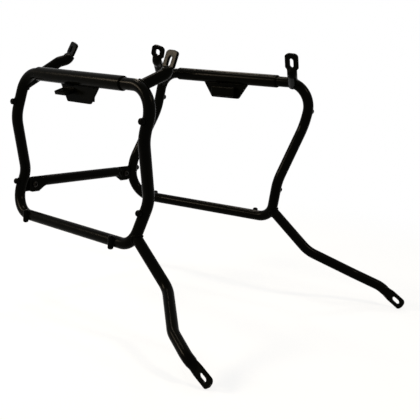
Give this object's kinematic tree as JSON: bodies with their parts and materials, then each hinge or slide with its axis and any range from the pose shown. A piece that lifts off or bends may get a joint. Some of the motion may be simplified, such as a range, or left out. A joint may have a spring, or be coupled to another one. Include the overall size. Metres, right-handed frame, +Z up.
{
  "type": "pannier frame",
  "caption": "Tubular motorbike side-case frame: leaning loops with sleeved top rails, slotted mounting tabs, forward arms and a cross brace behind.",
  "frame": {"origin": "middle of the part's bounding box, on the bike's middle plane", "axes": "+X to the rider's right, +Y to the front wheel, +Z up, as the frame sits on the bike"},
  "size_m": [0.5322, 0.5494, 0.4266],
  "materials": {
    "powder_coat": "semi-gloss black powder coat",
    "black_zinc": "black zinc on steel"
  },
  "bodies": {
    "root": {"right_loop": "powder_coat", "right_sleeve": "powder_coat", "right_lock_plate": "powder_coat", "right_catch": "powder_coat", "right_front_stay": "powder_coat", "right_rear_stay": "powder_coat", "right_arm": "powder_coat", "right_upright_studs": "powder_coat", "right_rail_studs": "powder_coat", "right_brace_lug": "powder_coat", "right_catch_block": "powder_coat", "left_loop": "powder_coat", "left_sleeve": "powder_coat", "left_lock_plate": "powder_coat", "left_catch": "powder_coat", "left_front_stay": "powder_coat", "left_rear_stay": "powder_coat", "left_arm": "powder_coat", "left_upright_studs": "powder_coat", "left_rail_studs": "powder_coat", "left_brace_lug": "powder_coat", "left_catch_block": "powder_coat", "cross_brace": "powder_coat", "brace_bolts": "black_zinc", "brace_nuts": "black_zinc"}
  },
  "joints": []
}
